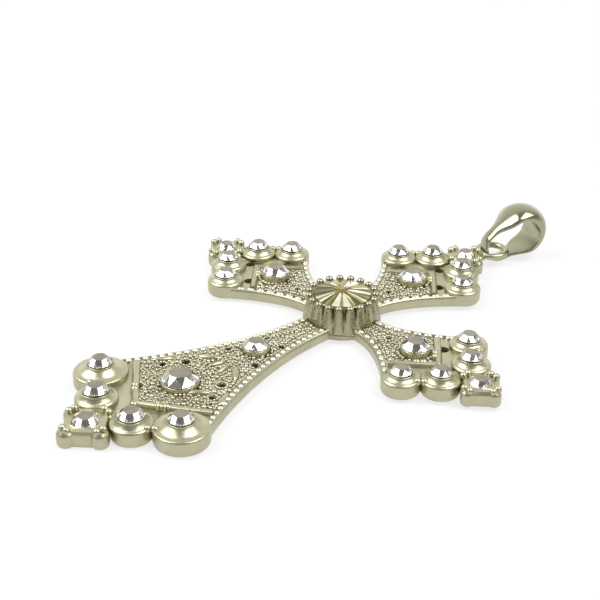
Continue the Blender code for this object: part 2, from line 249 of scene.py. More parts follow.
class Shape:
    """Points and faces in millimetres. Rings run anticlockwise and are added from below."""

    def __init__(self):
        self.points = []
        self.faces = []
        self.tags = []

    def add(self, points, faces, tag=0):
        first = len(self.points)
        self.points += points
        self.faces += [tuple(first + index for index in face) for face in faces]
        self.tags += [tag] * len(faces)

    def loft(self, rings, closed=False, tag=0):
        """Joins rings of equal length, and caps both ends. A closed loft joins its last ring to its
        first instead."""
        size = len(rings[0])
        points = [point for ring in rings for point in ring]
        faces = []
        for row in range(len(rings) if closed else len(rings) - 1):
            low = row * size
            high = (row + 1) % len(rings) * size
            for index in range(size):
                after = (index + 1) % size
                faces.append((low + index, low + after, high + after, high + index))
        if not closed:
            last = (len(rings) - 1) * size
            faces.append(tuple(reversed(range(size))))
            faces.append(tuple(range(last, last + size)))
        self.add(points, faces, tag)

    def turned(self, centre, profile, steps, tag=0):
        """A solid of revolution from (radius, height) pairs, listed from below."""
        turns = [2 * math.pi * step / steps for step in range(steps)]
        rings = [
            [centre + Vector((radius * math.cos(a), radius * math.sin(a), height)) for a in turns]
            for radius, height in profile
        ]
        self.loft(rings, tag=tag)

    def bead(self, centre, sizes, angle=0.0, tilt=0.0, steps=8, rows=3):
        """An ellipsoid that ends a little under its middle. It is turned by its angle about z, then
        tips over by its tilt towards its own -y side."""
        turn = Matrix.Rotation(angle, 3, "Z") @ Matrix.Rotation(tilt, 3, "X")
        below = 0.45
        points = []
        for row in range(rows):
            lift = -below + (math.pi / 2 + below) * row / rows
            level, height = math.cos(lift), math.sin(lift)
            for step in range(steps):
                a = 2 * math.pi * (step + 0.5 * (row % 2)) / steps
                ball = Vector((level * math.cos(a), level * math.sin(a), height))
                spot = Vector([size * part for size, part in zip(sizes, ball)])
                points.append(centre + turn @ spot)
        points.append(centre + turn @ Vector((0.0, 0.0, sizes[2])))
        faces = [tuple(reversed(range(steps)))]
        for row in range(rows - 1):
            for step in range(steps):
                after = (step + 1) % steps
                low, high = row * steps, (row + 1) * steps
                faces.append((low + step, low + after, high + after, high + step))
        last, top = (rows - 1) * steps, len(points) - 1
        faces += [(last + step, last + (step + 1) % steps, top) for step in range(steps)]
        self.add(points, faces)

    def piece(self, name, materials, slot, body="cross", smooth=True, sharp=42.0):
        mesh = bpy.data.meshes.new(name)
        mesh.from_pydata([point * MM for point in self.points], [], self.faces)
        for material in materials:
            mesh.materials.append(material)
        mesh.polygons.foreach_set("material_index", self.tags)
        if smooth:
            mesh.shade_smooth()
            mesh.set_sharp_from_angle(angle=math.radians(sharp))
        mesh.update()
        made = bpy.data.objects.new(name, mesh)
        bpy.context.scene.collection.objects.link(made)
        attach(made, body)
        return made


def smooth_line(points, per):
    """A Catmull-Rom curve through points of any dimension, with per steps between neighbours."""
    ends = [points[0], *points, points[-1]]
    line = []
    for before, start, end, after in zip(ends, ends[1:], ends[2:], ends[3:]):
        for step in range(per):
            t = step / per
            line.append(tuple(
                0.5 * (2 * s + (e - b) * t + (2 * b - 5 * s + 4 * e - a) * t * t
                       + (3 * s - b - 3 * e + a) * t ** 3)
                for b, s, e, a in zip(before, start, end, after)
            ))
    line.append(tuple(points[-1]))
    return line


# ---------------------------------------------------------------------------------- materials


class Nodes:
    """Short calls for making a material's nodes."""

    def __init__(self, name):
        self.material = bpy.data.materials.new(name)
        self.material.use_nodes = True
        self.tree = self.material.node_tree
        self.shader = self.tree.nodes["Principled BSDF"]
        self.coordinates = self.tree.nodes.new("ShaderNodeTexCoord").outputs["Object"]

    def node(self, kind, **values):
        made = self.tree.nodes.new(kind)
        for name, value in values.items():
            made.inputs[name.replace("_", " ")].default_value = value
        return made

    def link(self, out, into):
        self.tree.links.new(out, into)

    def noise(self, scale, detail=3.0):
        made = self.node("ShaderNodeTexNoise", Scale=scale, Detail=detail, Roughness=0.55)
        self.link(self.coordinates, made.inputs["Vector"])
        return made.outputs["Fac"]

    def ramp(self, value, *stops):
        made = self.tree.nodes.new("ShaderNodeValToRGB")
        while len(made.color_ramp.elements) < len(stops):
            made.color_ramp.elements.new(0.5)
        for element, (place, colour) in zip(made.color_ramp.elements, stops):
            element.position = place
            element.color = (*colour, 1.0)
        self.link(value, made.inputs["Fac"])
        return made.outputs["Color"]

    def span(self, value, low, high):
        made = self.node("ShaderNodeMapRange", To_Min=low, To_Max=high)
        self.link(value, made.inputs["Value"])
        return made.outputs["Result"]

    def bump(self, height, distance, strength):
        made = self.node("ShaderNodeBump", Distance=distance, Strength=strength)
        self.link(height, made.inputs["Height"])
        self.link(made.outputs["Normal"], self.shader.inputs["Normal"])

    def colour(self, value, *stops):
        self.link(self.ramp(value, *stops), self.shader.inputs["Base Color"])

    def set(self, **values):
        for name, value in values.items():
            self.shader.inputs[name.replace("_", " ")].default_value = value


def dimmed(colour, part):
    return tuple(part * channel for channel in colour)


def metal(name, light, dark, rough, grain, strength):
    """Plated casting: uneven tone, uneven gloss and a fine grain. Noise scales are per metre."""
    made = Nodes(name)
    made.set(Metallic=1.0)
    made.colour(made.noise(420.0), (0.3, dark), (0.7, light))
    gloss = made.span(made.noise(900.0), rough - 0.06, rough + 0.08)
    made.link(gloss, made.shader.inputs["Roughness"])
    made.bump(made.noise(grain, 4.0), 0.00003, strength)
    return made.material


def glass(name, colour):
    """The sides of a clear stone: half glass, half the shine of the foil behind it."""
    made = Nodes(name)
    made.set(Transmission_Weight=1.0, IOR=1.56, Metallic=0.5, Roughness=0.0)
    made.colour(made.noise(300.0), (0.3, colour), (0.7, dimmed(colour, 0.97)))
    return made.material


def facet(name, colour):
    """A facet in one tone, a little uneven: a painted reflection, the light and dark that a stone
    shows through its face, over any tint of the stone's own.
    """
    made = Nodes(name)
    made.set(Metallic=0.92, Roughness=0.05)
    made.colour(made.noise(700.0, 1.0), (0.35, dimmed(colour, 0.8)), (0.65, colour))
    return made.material


def foil(name, *tones):
    """The mirror behind a stone, whose tone drifts from facet to facet."""
    made = Nodes(name)
    made.set(Metallic=1.0, Roughness=0.015)
    stops = [(0.3 + 0.4 * index / (len(tones) - 1), tone) for index, tone in enumerate(tones)]
    made.colour(made.noise(480.0, 1.0), *stops)
    return made.material


# ---------------------------------------------------------------------------------- casting


def outline_of_cross(inset, height):
    """The plate's outline, anticlockwise. The lobes and tips cover where it crosses them."""
    outline = []
    for index, arm in enumerate(ARMS):
        after = ARMS[(index + 1) % len(ARMS)]
        step = (arm.reach - FLARE_START) / EDGE_STEPS
        edge = [FLARE_START + step * count for count in range(EDGE_STEPS + 1)]
        chain = [(u - inset, v - inset) for u, v, _ in arm.lobes]
        outline += [arm.place(u, inset - arm.half_width(u), height) for u in edge]
        outline += [arm.place(u, -v, height) for u, v in chain]
        outline.append(arm.place(arm.tip[0] - TIP_INSIDE - inset, 0.0, height))
        outline += [arm.place(u, v, height) for u, v in reversed(chain)]
        outline += [arm.place(u, arm.half_width(u) - inset, height) for u in reversed(edge)]
        outline.append(arm.place(after.root - inset, arm.root - inset, height))
    return outline


def make_plate(material, pit_shade_material):
    """The flat cross with rolled edges, a sunken field and small tapered pits."""
    profile = ((0.3, 0.0), (0.12, 0.1), (0.03, 0.28), (0.0, 0.5), (0.0, 1.2), (0.06, 1.42),
               (0.22, 1.58), (0.36, 1.6), (0.46, 1.5), (0.52, 1.36), (0.6, FIELD_TOP))
    plate = Shape()
    plate.loft([outline_of_cross(inset, height) for inset, height in profile])
    made = plate.piece("casting_plate", [material, pit_shade_material], "cast_metal")
    # The pit cutters and the seats under the mid stones carry the second material, the near-black
    # pit metal: painted shade in these hollows.
    pits = Shape()
    for arm in ARMS:
        for u, v, radius in arm.pits:
            walls = ((0.5 * radius, 0.4), (0.8 * radius, 0.9), (radius, FIELD_TOP),
                     (1.2 * radius, 2.2))
            pits.turned(arm.place(u, v), walls, 14, tag=1)
    for node in sorted(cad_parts):
        if "_mid" in node:
            centre, radius, girdle = stone_size(node)
            low = girdle - pavilion(radius, girdle) - SEAT_GAP
            wall = radius + SEAT_GAP
            seat = ((0.1, low), (wall, girdle - GIRDLE_EDGE), (wall, girdle + 2.0))
            pits.turned(Vector((centre.x, centre.y, 0.0)), seat, 32, tag=1)
    cutter_mesh = bpy.data.meshes.new("pits")
    cutter_mesh.from_pydata([point * MM for point in pits.points], [], pits.faces)
    cutter_mesh.materials.append(material)
    cutter_mesh.materials.append(pit_shade_material)
    cutter_mesh.polygons.foreach_set("material_index", pits.tags)
    cutter = bpy.data.objects.new("pits", cutter_mesh)
    bpy.context.scene.collection.objects.link(cutter)
    cut = made.modifiers.new("pits", "BOOLEAN")
    cut.object = cutter
    cut.solver = "EXACT"
    bpy.context.view_layer.update()
    evaluated = made.evaluated_get(bpy.context.evaluated_depsgraph_get())
    made.data = bpy.data.meshes.new_from_object(evaluated)
    made.modifiers.clear()
    bpy.data.objects.remove(cutter)
    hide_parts("cross_casting")


def make_lobes(arm, material):
    """Round lobes: a straight wall, a rolled shoulder and a slope up to a thin collar."""
    lobes = Shape()
    for ring, (u, v, radius) in zip(("outer", "inner"), arm.lobes):
        for side, word in ((-1, "a"), (1, "b")):
            _, stone, girdle = stone_size(f"stone_{arm.name}_{ring}_{word}")
            collar = girdle - 0.24
            slope = radius - stone
            profile = [
                (radius - 0.4, 0.02), (radius - 0.16, 0.12), (radius - 0.04, 0.32), (radius, 0.62),
                (radius, 1.1), (radius, 1.6), (radius - 0.03, LOBE_SHOULDER),
                (radius - 0.2, LOBE_SHOULDER + 0.19), (radius - 0.45 * slope, LOBE_SHOULDER + 0.3),
                (stone + 0.22, collar - 0.22), (stone + 0.12, collar),
                (stone + 0.01, collar + 0.02), (stone - 0.06, collar - 0.05),
            ]
            profile = smooth_line(profile, 4)
            profile.append((0.1, girdle - pavilion(stone, girdle) - SEAT_GAP))
            lobes.turned(arm.place(u, side * v), profile, 64)
    lobes.piece(f"lobes_{arm.name}", [material], "cast_metal")


def rounded_block(arm, inset, height):
    """A square set corner-on, with a round pillar at each corner and slightly sunken faces."""
    u, half_diagonal, pillar, recess = arm.tip
    reach = half_diagonal - pillar
    spread = math.pi / 4 + math.acos(1 - recess / pillar)
    outline = []
    for quarter in range(4):
        angle = quarter * math.pi / 2
        for step in range(PILLAR_STEPS + 1):
            turn = angle - spread + 2 * spread * step / PILLAR_STEPS
            outline.append(arm.place(
                u + reach * math.cos(angle) + (pillar - inset) * math.cos(turn),
                reach * math.sin(angle) + (pillar - inset) * math.sin(turn), height))
    return outline


def make_tip(arm, material):
    """The square tip: a block that rises to its stone's seat, with a bead pair on each corner."""
    u, half_diagonal, pillar, _ = arm.tip
    _, stone, girdle = stone_size(f"stone_{arm.name}_tip")
    tip = Shape()
    profile = ((0.4, 0.01), (0.16, 0.1), (0.04, 0.3), (0.0, 0.6), (0.0, 1.5), (0.05, 1.7),
               (0.17, 1.83), (0.34, TIP_TOP))
    rings = [rounded_block(arm, inset, height) for inset, height in profile]
    centre = arm.place(u, 0.0)
    bottom = girdle - pavilion(stone, girdle) - SEAT_GAP
    seat = ((stone + 0.4, TIP_TOP), (stone + 0.26, TIP_TOP + 0.1), (stone + 0.14, girdle - 0.12),
            (stone + 0.02, girdle - 0.1), (stone - 0.04, girdle - 0.16), (0.1, bottom))
    for radius, height in seat:
        ring = []
        for point in rings[0]:
            away = Vector((point.x - centre.x, point.y - centre.y, 0.0)).normalized()
            ring.append(centre + away * radius + Vector((0.0, 0.0, height)))
        rings.append(ring)
    tip.loft(rings)
    reach = half_diagonal - pillar + TIP_BEAD_OUT
    for quarter in range(4):
        cos, sin = math.cos(quarter * math.pi / 2), math.sin(quarter * math.pi / 2)
        for side in (-1, 1):
            spot = (u + reach * cos - side * PAIR_HALF_GAP * sin,
                    reach * sin + side * PAIR_HALF_GAP * cos)
            tip.bead(arm.place(*spot, TIP_TOP + TIP_BEAD_LIFT), TIP_BEAD, steps=14, rows=6)
    tip.piece(f"tip_{arm.name}", [material], "cast_metal")


def cup_ring(radii, height):
    """A level of the cup, from the radius of each of its points."""
    ring = []
    for step, radius in enumerate(radii):
        angle = 2 * math.pi * (step + 0.5 - FLUTE_STEPS / 2) / FLUTE_POINTS + FLUTE_TURN
        ring.append(Vector((radius * math.cos(angle), radius * math.sin(angle), height)))
    return ring


def make_cup(material):
    """The fluted centre cup, narrower at its top: round columns on a plain foot, a bead on each."""
    cup = Shape()
    foot = ((CUP_RADIUS - 0.35, 0.03), (CUP_RADIUS - 0.1, 0.16), (CUP_RADIUS, 0.4),
            (CUP_RADIUS, CUP_PLINTH - 0.1), (CUP_RADIUS - 0.08, CUP_PLINTH))
    cup.turned(Vector((0, 0, 0)), foot, 96)
    rings = []
    # (height, how far the columns swell, how deep the gaps between them are)
    levels = ((0.85, 0.2, 0.0), (0.95, 0.8, 0.0), (1.05, 1.0, 0.02), (2.2, 1.0, 0.04),
              (2.7, 1.0, 0.12), (3.2, 1.0, 0.5), (3.8, 1.0, 0.8), (4.1, 1.0, 0.8), (4.28, 0.6, 0.6))
    for height, swell, gap in levels:
        part = (height - CUP_PLINTH) / (CUP_TOP - CUP_PLINTH)
        crest = CUP_RADIUS + (CUP_MOUTH_RADIUS - CUP_RADIUS) * part
        radii = []
        for step in range(FLUTE_POINTS):
            across = 2 * ((step % FLUTE_STEPS) + 0.5) / FLUTE_STEPS - 1
            slot = max(0.0, abs(across) - FLUTE_GAP_START) / FLUTE_GAP_WIDTH
            swelling = FLUTE_SWELL * swell * (1 - across * across)
            radii.append(crest - FLUTE_SWELL - gap * slot + swelling)
        rings.append(cup_ring(radii, height))
    _, stone, girdle = stone_size("stone_centre")
    bottom = girdle - pavilion(stone, girdle) - SEAT_GAP
    seat = ((3.95, 4.28), (3.82, 4.22), (stone + SEAT_GAP, girdle - GIRDLE_EDGE), (0.2, bottom))
    rings += [cup_ring([radius] * FLUTE_POINTS, height) for radius, height in seat]
    cup.loft(rings)
    for index in range(FLUTE_COUNT):
        angle = 2 * math.pi * index / FLUTE_COUNT + FLUTE_TURN
        x, y = CUP_BEAD_CIRCLE * math.cos(angle), CUP_BEAD_CIRCLE * math.sin(angle)
        cup.bead(Vector((x, y, CUP_TOP)), (CUP_BEAD,) * 3, steps=16, rows=8)
    cup.piece("centre_cup", [material], "cast_metal", sharp=60.0)


def make_ridges(material):
    """A smooth V on each arm that frames the field outside its last mid stone, and the leaves."""
    ridges = Shape()
    for arm in ARMS:
        u_start, v_start, u_end = arm.ridge
        u_blunt, v_blunt = u_end - RIDGE_BLUNT[0], RIDGE_BLUNT[1]
        line = smooth_line(
            [(u_start, -v_start), (u_blunt, -v_blunt), (u_blunt, v_blunt), (u_start, v_start)], 8)
        rings = []
        for index, (u, v) in enumerate(line):
            ahead = Vector(line[min(index + 1, len(line) - 1)])
            behind = Vector(line[max(index - 1, 0)])
            along = (ahead - behind).normalized()
            ring = []
            for step in range(9):
                turn = math.pi * step / 8
                side, rise = RIDGE_HALF_WIDTH * math.cos(turn), RIDGE_RISE * math.sin(turn)
                height = FIELD_TOP - RIDGE_SINK + rise
                ring.append(arm.place(u + side * along.y, v - side * along.x, height))
            rings.append(ring)
        ridges.loft(list(reversed(rings)))
    for u, v, length, width, turn in LEAVES:
        for side in (-1, 1):
            angle = LONG_ARM.angle + side * math.radians(turn)
            ridges.bead(LONG_ARM.place(u, side * v, FIELD_TOP + LEAF_LIFT),
                        (length, width, LEAF_RISE), angle, steps=24, rows=7)
    ridges.piece("field_ridges", [material], "cast_metal")


def make_milgrain(arm, material):
    """A row of long beads that rolls over each curved edge of the arm."""
    pitch, along, across = arm.rib
    beads = Shape()
    for side in (-1, 1):
        u, travelled, wanted = FLARE_START + 0.2, 0.0, 0.0
        while u < arm.reach + 0.2:
            slope = (arm.half_width(u + SLOPE_STEP) - arm.half_width(u)) / SLOPE_STEP
            if travelled >= wanted:
                v = side * (arm.half_width(u) - MILGRAIN_INSET)
                angle = arm.angle + side * math.atan(slope)
                beads.bead(arm.place(u, v, MILGRAIN_HEIGHT), (along, across, MILGRAIN_RISE),
                           angle, -side * MILGRAIN_TILT, steps=12, rows=6)
                wanted += pitch
            travelled += TRACE_STEP * math.hypot(1.0, slope)
            u += TRACE_STEP
    beads.piece(f"milgrain_{arm.name}", [material], "cast_metal")


class Granules:
    """Small domes that never crowd each other, placed on one arm's field."""

    def __init__(self, arm, rng):
        self.arm = arm
        self.rng = rng
        self.cells = {}
        self.places = []
        self.stones = [(u, 0.0, radius) for u, radius in arm.mids()]
        self.leaves = LEAVES if arm is LONG_ARM else ()

    def half_field(self, u):
        """How far the field reaches to each side, inside the rims and then inside the lobes."""
        arm = self.arm
        if u < arm.reach:
            return arm.half_width(u) - FIELD_INSET
        chain = [(arm.reach, arm.half_width(arm.reach) - FIELD_INSET),
                 *[(u, v) for u, v, _ in arm.lobes], (arm.tip[0], 0.0)]
        for (u_a, v_a), (u_b, v_b) in zip(chain, chain[1:]):
            if u <= u_b:
                return v_a + (v_b - v_a) * (u - u_a) / (u_b - u_a)
        return 0.0

    def allowed(self, u, v, radius):
        """Whether a place is on open field, clear of stones, pits, lobes, leaves and ridges."""
        arm = self.arm
        if math.hypot(u, v) < CUP_RADIUS + 0.5 * radius or abs(v) > self.half_field(u) - radius:
            return False
        for other_u, other_v, other in self.stones:
            if math.hypot(u - other_u, v - other_v) < other + 0.1 + radius:
                return False
        for other_u, other_v, other in arm.pits:
            if math.hypot(u - other_u, v - other_v) < other + 0.7 * radius:
                return False
        for other_u, other_v, other in arm.lobes:
            if math.hypot(u - other_u, abs(v) - other_v) < other + 0.5 * radius:
                return False
        for leaf_u, leaf_v, length, width, turn in self.leaves:
            cos, sin = math.cos(math.radians(turn)), math.sin(math.radians(turn))
            along = (u - leaf_u) * cos + (abs(v) - leaf_v) * sin
            across = (abs(v) - leaf_v) * cos - (u - leaf_u) * sin
            if math.hypot(along / (length + radius), across / (width + radius)) < 1:
                return False
        if abs(u - arm.tip[0]) + abs(v) < arm.tip[1] + 0.3:
            return False
        u_start, v_start, u_end = arm.ridge
        run = Vector((u_end - u_start, -v_start)).normalized()
        inside = (u - u_start) * run.y - (abs(v) - v_start) * run.x
        return u < u_start - 0.4 or inside > 0.5 + 0.7 * radius

    def free(self, u, v, radius):
        """Whether nothing placed so far is nearer than a little less than touching."""
        column, row = int(u // CELL), int(v // CELL)
        for step_u in (-1, 0, 1):
            for step_v in (-1, 0, 1):
                for other_u, other_v, other in self.cells.get((column + step_u, row + step_v), ()):
                    if math.hypot(u - other_u, v - other_v) < OVERLAP * (radius + other):
                        return False
        return True

    def put(self, u, v, radius, lift):
        if self.allowed(u, v, radius) and self.free(u, v, radius):
            self.cells.setdefault((int(u // CELL), int(v // CELL)), []).append((u, v, radius))
            self.places.append((u, v, radius, lift))

    def row(self, points, radius, lift):
        """Granules at even steps along a line of (u, v) points."""
        left = 0.0
        for start, end in zip(points, points[1:]):
            length = math.dist(start, end)
            while left < length:
                part = left / length
                size = radius * self.rng.uniform(0.72, 1.15)
                u, v = [a + (b - a) * part + self.rng.uniform(-SCATTER, SCATTER)
                        for a, b in zip(start, end)]
                self.put(u, v, size, lift)
                left += 2.0 * radius
            left -= length

    def ring(self, u, v, radius, size, lift):
        """Granules at even turns round a point."""
        count = max(5, round(2 * math.pi * radius / (1.95 * size)))
        for index in range(count):
            angle = 2 * math.pi * index / count
            away = radius + self.rng.uniform(-0.05, 0.05)
            self.put(u + away * math.cos(angle), v + away * math.sin(angle),
                     size * self.rng.uniform(0.75, 1.15), lift)

    def scroll(self, u, v, radius, start, turns, size, lift):
        """A spiral row that winds in from its radius to a point."""
        steps = 40
        points = []
        for step in range(steps + 1):
            part = step / steps
            angle = start + 2 * math.pi * turns * part
            reach = radius * (1 - 0.8 * part)
            points.append((u + reach * math.cos(angle), v + reach * math.sin(angle)))
        self.row(points, size, lift)

    def fill(self, u_low, u_high, tries, sizes, lift):
        """Tries random places, and keeps those that are still open."""
        for _ in range(tries):
            u = self.rng.uniform(u_low, u_high)
            reach = self.half_field(u)
            radius = self.rng.uniform(*sizes)
            self.put(u, self.rng.uniform(-reach, reach), radius, lift)


def make_granules(arm, material):
    """The granulated field: rings round stones and pits, rows by the edges, scrolls and a fill."""
    field = Granules(arm, random.Random(arm.name))
    last = arm.lobes[1][0]
    for u, _, radius in field.stones:
        field.ring(u, 0.0, radius + 0.36, size=0.25, lift=0.22)
    for u, v, radius in arm.pits:
        field.ring(u, v, radius + 0.2, size=0.19, lift=0.14)
    steps = int((last - FLARE_START) / SPAN_STEP) + 4
    span = [FLARE_START - 1 + SPAN_STEP * step for step in range(steps)]
    for side in (-1, 1):
        for inset, size, lift in ((1.36, 0.2, 0.12), (1.85, 0.26, 0.16)):
            field.row([(u, side * (arm.half_width(u) - inset)) for u in span], size, lift)
        for index in range(int((last - 6.0) / SCROLL_PITCH)):
            u = SCROLL_START + SCROLL_PITCH * index
            start = side * (0.8 + 1.3 * index)
            lanes = max(1, int((arm.half_width(u) - 1.7) / LANE_PITCH))
            for lane in range(lanes):
                v = side * (LANE_START + LANE_PITCH * lane)
                field.scroll(u + 0.5 * lane, v, SCROLL_RADIUS, start, side * SCROLL_TURNS,
                             size=0.2, lift=0.14)
    tries = 9000 if arm is LONG_ARM else 3500
    field.fill(4.0, last + 2.0, tries, sizes=(0.26, 0.4), lift=0.06)
    field.fill(4.0, last + 2.0, 2 * tries, sizes=(0.15, 0.22), lift=0.0)
    shape = Shape()
    for u, v, radius, lift in field.places:
        squash = radius * (0.95 + 0.15 * field.rng.random())
        first = len(shape.points)
        shape.bead(arm.place(u, v, FIELD_TOP - 0.03 + lift), (radius, radius, squash))
        if lift > RAISED:
            # A raised granule's lower rings go down into the field, so that no gap shows under it.
            for point in shape.points[first:-1]:
                if point.z <= FIELD_TOP + lift:
                    point.z = FIELD_TOP - BURIED
    shape.piece(f"granules_{arm.name}", [material], "cast_metal")


def make_settings(material):
    """Plain collars round the mid stones, and the bead pairs by the lobes."""
    settings = Shape()
    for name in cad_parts:
        if "_mid" not in name:
            continue
        centre, radius, girdle = stone_size(name)
        rim = girdle - 0.16
        profile = ((radius + 0.14, 1.1), (radius + 0.11, rim - 0.2), (radius + 0.05, rim),
                   (radius - 0.06, rim))
        bottom = girdle - pavilion(radius, girdle) - SEAT_GAP
        wall = [*smooth_line(profile, 3), (0.1, bottom)]
        settings.turned(Vector((centre.x, centre.y, 0.0)), wall, 56)
    for arm in ARMS:
        (u_a, v_a, radius_a), (u_b, v_b, radius_b) = arm.lobes
        share = radius_a / (radius_a + radius_b)
        run = Vector((u_b - u_a, v_b - v_a)).normalized()
        out = Vector((-run.y, run.x)) if run.x > 0 else Vector((run.y, -run.x))
        for side in (-1, 1):
            for away, height in LOBE_PAIRS:
                for half in (-PAIR_HALF_GAP, PAIR_HALF_GAP):
                    u = u_a + (u_b - u_a) * share + out.x * away + run.x * half
                    v = v_a + (v_b - v_a) * share + out.y * away + run.y * half
                    settings.bead(arm.place(u, side * v, height), (LOBE_BEAD,) * 3,
                                  steps=14, rows=6)
    settings.piece("stone_settings", [material], "cast_metal")


def make_eyelet(material):
    """The cast ring beyond the top tip, on a short neck."""
    ring = Shape()
    rings = []
    for step in range(EYELET_STEPS):
        angle = -2 * math.pi * step / EYELET_STEPS
        around = Vector((math.cos(angle), math.sin(angle), 0.0))
        section = []
        for part in range(WIRE_STEPS):
            turn = 2 * math.pi * part / WIRE_STEPS
            section.append(EYELET_CENTRE + around * (EYELET_RADIUS + EYELET_WIRE * math.cos(turn))
                           + Vector((0.0, 0.0, EYELET_WIRE * math.sin(turn))))
        rings.append(section)
    ring.loft(rings, closed=True)
    neck_rings = []
    for y, half, top in NECK:
        middle = Vector((0.0, y, top / 2 + 0.02))
        neck_rings.append([
            middle + Vector((half * math.cos(turn), 0.0, (top / 2 - 0.02) * math.sin(turn)))
            for turn in [2 * math.pi * part / NECK_STEPS for part in range(NECK_STEPS)]
        ])
    ring.loft(list(reversed(neck_rings)))
    ring.piece("eyelet", [material], "cast_metal")


# ---------------------------------------------------------------------------------- bail


def loop_point(fraction, loop):
    """A point on the outline round two circles, by its distance from the small end as a part of
    the whole length."""
    small, large, distance = loop
    lean = math.asin((large - small) / distance)
    small_arc = small * (math.pi / 2 - lean)
    straight = distance * math.cos(lean)
    half = small_arc + straight + large * (math.pi / 2 + lean)
    side = 1 if fraction <= 0.5 else -1
    travelled = 2 * half * (fraction if side > 0 else 1 - fraction)
    if travelled < small_arc:
        angle = math.pi - travelled / small
        along, up = small * math.cos(angle), small * math.sin(angle)
    elif travelled < small_arc + straight:
        part = (travelled - small_arc) / straight
        along = -small * math.sin(lean) * (1 - part) + (distance - large * math.sin(lean)) * part
        up = (small * (1 - part) + large * part) * math.cos(lean)
    else:
        angle = (half - travelled) / large
        along, up = distance + large * math.cos(angle), large * math.sin(angle)
    return Vector((0.0, along, side * up))


def make_bail(material):
    """A closed band, domed outside and flat inside, that widens towards its large end."""
    turn = Matrix.Rotation(BAIL_YAW, 3, "Z") @ Matrix.Rotation(BAIL_PITCH, 3, "X")
    rings = []
    for station in range(BAIL_STATIONS):
        fraction = station / BAIL_STATIONS
        inner = loop_point(fraction, BAIL_INNER)
        outer = loop_point(fraction, BAIL_OUTER)
        reach = min(1.0, max(0.0, inner.y / BAIL_INNER[2]))
        width = BAIL_NARROW + (BAIL_WIDE - BAIL_NARROW) * reach * reach * (3 - 2 * reach)
        thick = (outer - inner).length
        outward = (outer - inner) / thick
        ring = []
        for step in range(BAIL_ACROSS + 1):
            angle = math.pi * step / BAIL_ACROSS
            rise = BAIL_EDGE + (thick - BAIL_EDGE) * math.sin(angle)
            ring.append(inner + outward * rise + Vector((-width / 2 * math.cos(angle), 0.0, 0.0)))
        for part in (0.98, 0.9, 0.0, -0.9, -0.98):
            lift = 0.05 if abs(part) > 0.95 else 0.0
            ring.append(inner + outward * lift + Vector((part * width / 2, 0.0, 0.0)))
        rings.append([BAIL_PIVOT + turn @ point for point in ring])
    band = Shape()
    band.loft(list(reversed(rings)), closed=True)
    made = band.piece("bail_band", [material], "bail_metal", body="bail", sharp=50.0)
    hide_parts("bail")


# ---------------------------------------------------------------------------------- stones


def finish_stone(stone, node, materials, slot):
    """Turns a stone's faces outwards and puts it in its node's place."""
    made = stone.piece(node.replace("stone", "crystal"), materials, slot, smooth=False)
    shape = bmesh.new()
    shape.from_mesh(made.data)
    bmesh.ops.recalc_face_normals(shape, faces=shape.faces)
    shape.to_mesh(made.data)
    shape.free()
    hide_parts(node)


def turned_ring(place, count, reach, height, spin):
    """Points at even turns about a stone's axis."""
    turns = [2 * math.pi * index / count + spin for index in range(count)]
    return [place + Vector((reach * math.cos(a), reach * math.sin(a), height)) for a in turns]


def make_stone(node, materials, slot):
    """A faceted stone: a shaded table and a row of facets above the girdle, every sixth one grey,
    over a pointed mirror. The shade on the table and the grey are painted reflections."""
    centre, radius, girdle = stone_size(node)
    sides = STONE_SIDES
    place = Vector((centre.x, centre.y, girdle))
    # A side of the table faces the photo's camera, give or take the small turn.
    spin = math.radians(CAMERA_AZIMUTH) + math.pi / sides
    spin += STONE_SPINS[len(node) % len(STONE_SPINS)]
    points = [
        *turned_ring(place, sides, TABLE_PART * radius, CROWN_PART * radius, spin),
        *turned_ring(place, 2 * sides, radius, 0.0, spin),
        *turned_ring(place, 2 * sides, radius, -GIRDLE_EDGE, spin),
        place - Vector((0, 0, pavilion(radius, girdle))),
    ]
    upper, lower, culet = sides, 3 * sides, 5 * sides
    stone = Shape()
    # The table is shaded: a painted reflection.
    stone.add(points, [tuple(range(sides))], 1)
    for index in range(sides):
        after = (index + 1) % sides
        here, mid, ahead = 2 * index, 2 * index + 1, 2 * after
        stone.faces += [(index, upper + here, upper + mid), (index, upper + mid, after),
                        (after, upper + mid, upper + ahead)]
        # The middle facet of every second sector is grey: a painted reflection.
        stone.tags += [0, 2 if index % 2 else 0, 0]
        for start, end in ((here, mid), (mid, ahead)):
            stone.faces.append((upper + start, lower + start, lower + end, upper + end))
        stone.faces.append((culet, lower + ahead, lower + mid, lower + here))
        stone.tags += [3, 3, 3]
    finish_stone(stone, node, materials, slot)


